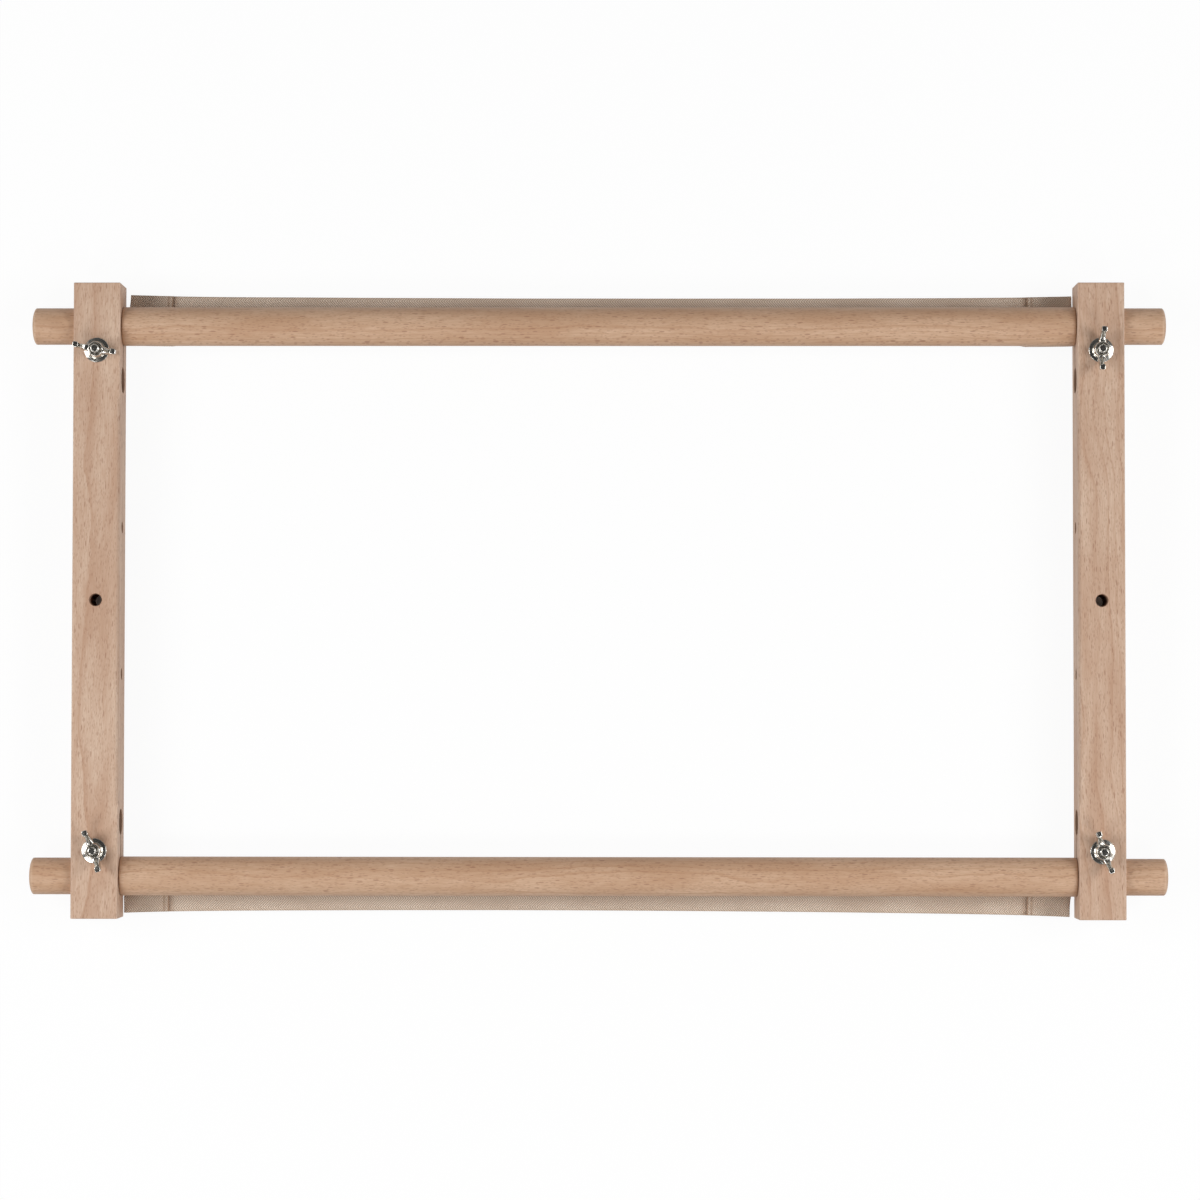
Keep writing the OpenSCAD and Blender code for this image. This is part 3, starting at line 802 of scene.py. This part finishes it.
class TAPESTRY_OT_bolts(bpy.types.Operator):
    """Forges the four bolts: domed head, square neck and a cut thread at the free end"""

    bl_idname = "tapestry.bolts"
    bl_label = "Bolts"

    def execute(self, context):
        pitch = context.scene.tapestry_ware.thread_pitch / MM
        major, minor, neck = 2.5, 2.04, 2.7
        head_r, head_h = extent("top_left_bolt")[0] / 2, 3.3
        steps = 48
        angle = np.linspace(0, 2 * np.pi, steps, endpoint=False)
        way = np.linspace(0.04, 1, 12)
        dome_r, dome_z = (head_r - 0.25) * np.sin(way * np.pi / 2), (head_h - 0.55) * (1 - np.cos(way * np.pi / 2))
        rim = arc((head_r - 0.3, head_h - 0.35), 0.3, -40, 80, 6)
        profile = list(zip(dome_r, dome_z)) + rim + [(neck + 0.4, head_h)]
        head = turned(profile, steps)
        square = neck / np.maximum(np.abs(np.cos(angle)), np.abs(np.sin(angle)))
        square = np.minimum(square, neck * 1.3)
        neck_rings = np.stack([
            np.stack([square * np.cos(angle), square * np.sin(angle), np.full(steps, z)], axis=-1)
            for z in (head_h, head_h + 3.4)])
        shank = turned([(major, head_h + 4.0), (major, 29.0)], steps)
        z = np.arange(29.4, BOLT_TOP - 0.05, pitch / 8)
        phase = (z[:, None] / pitch - angle / (2 * np.pi)) % 1
        depth = (major - minor) * np.clip(1.25 - 2.5 * np.abs(phase - 0.5), 0, 1)
        outer = np.minimum(major, major - 0.1 - 0.75 * (z - BOLT_TOP + 0.6))[:, None]
        radius = np.minimum(major - depth * smooth_step(z, 29.4, 31)[:, None], outer)
        thread = np.stack([radius * np.cos(angle), radius * np.sin(angle),
                           np.broadcast_to(z[:, None], radius.shape)], axis=-1)
        tip = turned([(1.85, BOLT_TOP - 0.05), (1.6, BOLT_TOP), (0.6, BOLT_TOP - 0.02)], steps)
        rings = np.concatenate([head, neck_rings, shank, thread, tip])
        for corner in CORNERS:
            name = "{}_{}".format(*corner)
            spot = np.array([*BOLT_AXIS[corner][:2], 0])
            bolt = surface(f"{name}_plated_bolt", rings + spot, sharp=45)
            material = plate_material(f"nickel_{name}_bolt", spot, 0.5)
            finish_piece(bolt, f"{corner[1]}_bar", "nickel_plate", material, f"{name}_bolt")
        return {"FINISHED"}


class TAPESTRY_OT_washers(bpy.types.Operator):
    """Presses the four washers, with the rounded outer edge that the press leaves"""

    bl_idname = "tapestry.washers"
    bl_label = "Washers"

    def execute(self, context):
        outer, thick = extent("top_left_washer")[0] / 2, WASHER_TOP - WASHER_LOW
        profile = [(2.65, 0.15), (2.8, 0.0), (5.0, 0.0)]
        profile += arc((outer - 0.25, 0.25), 0.25, -90, 0, 4)
        dish, dish_r = 0.42, 4.4
        profile += [(outer - 0.55 + 0.55 * math.cos(a), thick - dish - 0.5 + 0.5 * math.sin(a))
                    for a in np.radians(np.linspace(5, 70, 7))]
        dished = np.linspace(outer - 0.7, dish_r, 8)
        profile += list(zip(dished, thick - dish * ((dished - dish_r) / (outer - 0.7 - dish_r)) ** 2))
        profile += [(3.6, thick), (2.85, thick), (2.65, thick - 0.15)]
        for corner in CORNERS:
            name = "{}_{}".format(*corner)
            spot = np.array([*BOLT_AXIS[corner][:2], WASHER_LOW])
            washer = surface(f"{name}_pressed_washer", turned(profile, 96) + spot, wrap=True, sharp=60)
            material = plate_material(f"nickel_{name}_washer", spot, 0.7)
            finish_piece(washer, f"{name}_washer", "nickel_plate", material, f"{name}_washer")
        return {"FINISHED"}


def bow(start, pull, stop, t):
    """Curve from start to stop that leans towards pull."""
    start, pull, stop, t = np.array(start), np.array(pull), np.array(stop), np.asarray(t)[:, None]
    return (1 - t) ** 2 * start + 2 * t * (1 - t) * pull + t ** 2 * stop


def cast_wing(span, height):
    """Rings of one wing of a wing nut, standing out along +X.

    Two curves in the plane of the bolt bound the wing: one out along the washer and up the tip, and one up from the
    boss and back along the top. A ring is a rounded rectangle from one curve to the other. It is thick at the boss,
    thinner in the middle of the wing and a little thicker again at the square tip.
    """
    tip, inner = span / 2, span / 2 - 3.4
    t = np.linspace(0, 1, 22)
    low = np.concatenate([bow((3.0, 0.9), (5.2, 0.7), (5.6, 1.1), t[:1]), bow((5.2, 0.9), (tip - 2.2, 1.9), (tip, 8.9), t),
                          [[tip, 10.4], [tip, height - 1.0], [tip, height - 0.25], [tip - 0.2, height]]])
    high = np.concatenate([bow((3.0, 6.0), (3.2, 6.0), (3.6, 6.0), t[:1]), bow((4.1, 5.9), (inner - 0.6, 6.9), (inner, 11.0), t),
                           [[inner, 11.8], [inner, height - 1.0], [inner, height - 0.25], [inner + 0.2, height]]])
    place = np.linspace(0, 1, len(low))
    thick = 2.35 - 0.75 * smooth_step(place, 0.0, 0.42) + 0.12 * smooth_step(place, 0.7, 0.95)
    thick[-1] -= 0.2
    middle_line, reach = (low + high) / 2, (high - low) / 2
    angle = np.linspace(0, 2 * np.pi, 40, endpoint=False)
    along = np.sign(np.cos(angle)) * np.abs(np.cos(angle)) ** 0.45
    beside = np.sign(np.sin(angle)) * np.abs(np.sin(angle)) ** 0.45
    flat = middle_line[:, None] + reach[:, None] * along[None, :, None]
    return np.stack([flat[..., 0], thick[:, None] * beside, flat[..., 1]], axis=-1)


class TAPESTRY_OT_wing_nuts(bpy.types.Operator):
    """Casts the four wing nuts: a coned boss and two wings in one skin, softened where they meet"""

    bl_idname = "tapestry.wing_nuts"
    bl_label = "Wing nuts"

    def execute(self, context):
        look = context.scene.tapestry_ware
        boss = [(2.62, 0.4), (2.95, 0.0), (5.15, 0.0), (5.5, 0.35), (5.2, 2.0), (4.75, 4.6), (4.55, 5.6)]
        boss += arc((3.75, 5.75), 0.75, 0, 90, 5) + [(3.35, 6.45), (2.62, 5.75)]
        wing = cast_wing(look.wing_span / MM, look.wing_height / MM)
        for corner in CORNERS:
            name = "{}_{}".format(*corner)
            spot = np.array([*BOLT_AXIS[corner][:2], WASHER_TOP])
            turn = math.radians(NUT_TURNS[corner])
            spin = np.array([[math.cos(turn), math.sin(turn), 0], [-math.sin(turn), math.cos(turn), 0], [0, 0, 1]])
            back = wing * (-1, -1, 1)
            parts = [surface("boss", turned(boss, 96) @ spin + spot, wrap=True)]
            parts += [surface("wing", half @ spin + spot) for half in (wing, back)]
            nut = joined(f"{name}_cast_wing_nut", parts)
            cast = nut.modifiers.new("one skin", "REMESH")
            cast.mode, cast.voxel_size, cast.use_smooth_shade = "VOXEL", 0.19 * MM, True
            soft = nut.modifiers.new("cast corners", "SMOOTH")
            soft.factor, soft.iterations = 0.5, 5
            shape = bpy.data.meshes.new_from_object(nut.evaluated_get(context.evaluated_depsgraph_get()))
            nut.modifiers.clear()
            nut.data = shape
            shape.polygons.foreach_set("use_smooth", np.ones(len(shape.polygons), bool))
            material = plate_material(f"nickel_{name}_wing_nut", spot, 0.6)
            finish_piece(nut, f"{name}_wing_nut", "nickel_plate", material, f"{name}_wing_nut")
        return {"FINISHED"}


def floor_material():
    """White for the camera and in reflections, with the object's soft shadow on it, and grey for the light it throws.

    Right under the side bars it takes no lift, so that it stays in their shadow where a hole shows it.
    """
    graph = Graph("studio_floor")
    path = graph.add("ShaderNodeLightPath").outputs
    seen = graph.fold("MAXIMUM", [path["Is Camera Ray"], path["Is Glossy Ray"], path["Is Transmission Ray"]])
    x, y, _ = graph.split(graph.place())
    out_x = graph.math("ABSOLUTE", graph.math("SUBTRACT", graph.math("ABSOLUTE", x), BAR_MIDDLE["right"][0]))
    in_x = graph.step(out_x, 11, 13, 1.0, 0.0)
    in_y = graph.step(graph.math("ABSOLUTE", y), 183, 187, 1.0, 0.0)
    lifted = graph.math("SUBTRACT", 1.0, graph.math("MULTIPLY", in_x, in_y))
    grain = graph.noise(graph.place(), scale=0.02, detail=2.0)
    grey = graph.mix(grain, (0.44, 0.44, 0.44), (0.46, 0.46, 0.46))
    plain = graph.add("ShaderNodeBsdfDiffuse", {"Color": grey}).outputs[0]
    white = graph.add("ShaderNodeBsdfDiffuse", {"Color": (0.96, 0.96, 0.96)}).outputs[0]
    lift = graph.add("ShaderNodeEmission", {"Color": (1, 1, 1), "Strength": 1.0}).outputs[0]
    shown = graph.add("ShaderNodeMixShader", {0: graph.math("MULTIPLY", lifted, 0.93), 1: white, 2: lift}).outputs[0]
    result = graph.add("ShaderNodeMixShader", {0: seen, 1: plain, 2: shown}).outputs[0]
    graph.add("ShaderNodeOutputMaterial", {"Surface": result})
    return graph.material


def studio_world(strength):
    """A sky that is bright at the horizon and dark overhead, and plain white where the camera sees it."""
    world = bpy.data.worlds.new("studio")
    world.use_nodes = True
    tree = world.node_tree
    tree.nodes.clear()
    new, link = tree.nodes.new, tree.links.new
    spot, parts = new("ShaderNodeTexCoord"), new("ShaderNodeSeparateXYZ")
    link(spot.outputs["Generated"], parts.inputs[0])
    ramp = new("ShaderNodeMapRange")
    ramp.interpolation_type = "SMOOTHSTEP"
    for key, value in {"From Min": 0.25, "From Max": 0.97, "To Min": strength, "To Max": strength * 0.12}.items():
        ramp.inputs[key].default_value = value
    link(parts.outputs[2], ramp.inputs["Value"])
    path, choose = new("ShaderNodeLightPath"), new("ShaderNodeMix")
    link(path.outputs["Is Camera Ray"], choose.inputs[0])
    link(ramp.outputs[0], choose.inputs[2])
    choose.inputs[3].default_value = 1.0
    sky, output = new("ShaderNodeBackground"), new("ShaderNodeOutputWorld")
    link(choose.outputs[0], sky.inputs["Strength"])
    link(sky.outputs[0], output.inputs["Surface"])
    return world


def lamp(name, spot, aim, size, power):
    """Soft area lamp at a spot, turned to what it lights."""
    light = bpy.data.lights.new(name, "AREA")
    light.shape, (light.size, light.size_y), light.energy = "RECTANGLE", size, power
    holder = bpy.data.objects.new(name, light)
    holder.location = spot
    holder.rotation_euler = (Vector(aim) - Vector(spot)).to_track_quat("-Z", "Y").to_euler()
    bpy.context.scene.collection.objects.link(holder)


class TAPESTRY_OT_stage(bpy.types.Operator):
    """Sets the floor, the lamps, the sky and the camera"""

    bl_idname = "tapestry.stage"
    bl_label = "Stage"

    def execute(self, context):
        scene, look = context.scene, context.scene.tapestry_stage
        size = 6.0
        mesh = bpy.data.meshes.new("studio_floor")
        corners = [(-size, -size, -0.0002), (size, -size, -0.0002), (size, size, -0.0002), (-size, size, -0.0002)]
        mesh.from_pydata(corners, [], [(0, 1, 2, 3)])
        floor = bpy.data.objects.new("studio_floor", mesh)
        scene.collection.objects.link(floor)
        mesh.materials.append(floor_material())
        floor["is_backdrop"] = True

        for side in SIDES:
            way = OUTWARDS[side]
            lamp(f"{side}_key", (way * 0.75, -0.75, 1.05), (way * 0.05, 0.02, 0), (0.45, 0.32), look.key_power)
            lamp(f"{side}_fill", (way * 1.5, 0.1, 1.3), (0, 0.05, 0), (0.9, 0.7), look.side_power)
        scene.world = studio_world(look.sky)
        scene.view_settings.view_transform = "Standard"

        towards = Vector((0.0085, -0.0349, 0.9994)).normalized()
        across = Vector((0, 1, 0)).cross(towards).normalized()
        turn = Matrix((across, towards.cross(across), towards)).transposed() @ Matrix.Rotation(math.radians(0.056), 3, "Z")
        data = bpy.data.cameras.new("camera")
        data.lens, data.sensor_width, data.clip_start, data.clip_end = look.lens, 36, 0.05, 30
        camera = bpy.data.objects.new("camera", data)
        aim = Vector((0.00098, 0.00055, BAR_MIDDLE["left"][2] * MM))
        camera.matrix_world = Matrix.Translation(aim + towards * look.distance) @ turn.to_4x4()
        scene.collection.objects.link(camera)
        scene.camera = camera
        return {"FINISHED"}


class TAPESTRY_PT_pieces(bpy.types.Panel):
    """Lists the pieces of the frame, each with the button that makes it, and their sizes and colours"""

    bl_idname = "TAPESTRY_PT_pieces"
    bl_label = "Tapestry frame"
    bl_space_type = "VIEW_3D"
    bl_region_type = "UI"
    bl_category = "Tapestry frame"

    def draw(self, context):
        for operator in OPERATORS:
            self.layout.operator(operator.bl_idname)
        for key in SETTINGS:
            group = getattr(context.scene, key)
            for name in type(group).__annotations__:
                self.layout.prop(group, name)


SETTINGS = {
    "tapestry_wood": WoodSettings,
    "tapestry_tape": TapeSettings,
    "tapestry_ware": WareSettings,
    "tapestry_stage": StageSettings,
}
OPERATORS = (
    TAPESTRY_OT_stage,
    TAPESTRY_OT_side_bars,
    TAPESTRY_OT_rollers,
    TAPESTRY_OT_tapes,
    TAPESTRY_OT_staples,
    TAPESTRY_OT_bolts,
    TAPESTRY_OT_washers,
    TAPESTRY_OT_wing_nuts,
)
CLASSES = (*SETTINGS.values(), *OPERATORS, TAPESTRY_PT_pieces)


def register():
    for cls in CLASSES:
        bpy.utils.register_class(cls)
    for key, group in SETTINGS.items():
        setattr(bpy.types.Scene, key, PointerProperty(type=group))


def unregister():
    for key in SETTINGS:
        delattr(bpy.types.Scene, key)
    for cls in reversed(CLASSES):
        bpy.utils.unregister_class(cls)


def plain(bounds):
    """The two corners of a box as plain lists of numbers."""
    return [[float(v) for v in corner] for corner in bounds]


def main():
    """Registers the add-on, makes every piece in order and works out the size before and after."""
    register()
    for operator in OPERATORS:
        group, name = operator.bl_idname.split(".")
        getattr(getattr(bpy.ops, group), name)()
    {"cad": plain(cad_bounds), "visual": plain(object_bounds())}


if __name__ == "__main__":
    main()
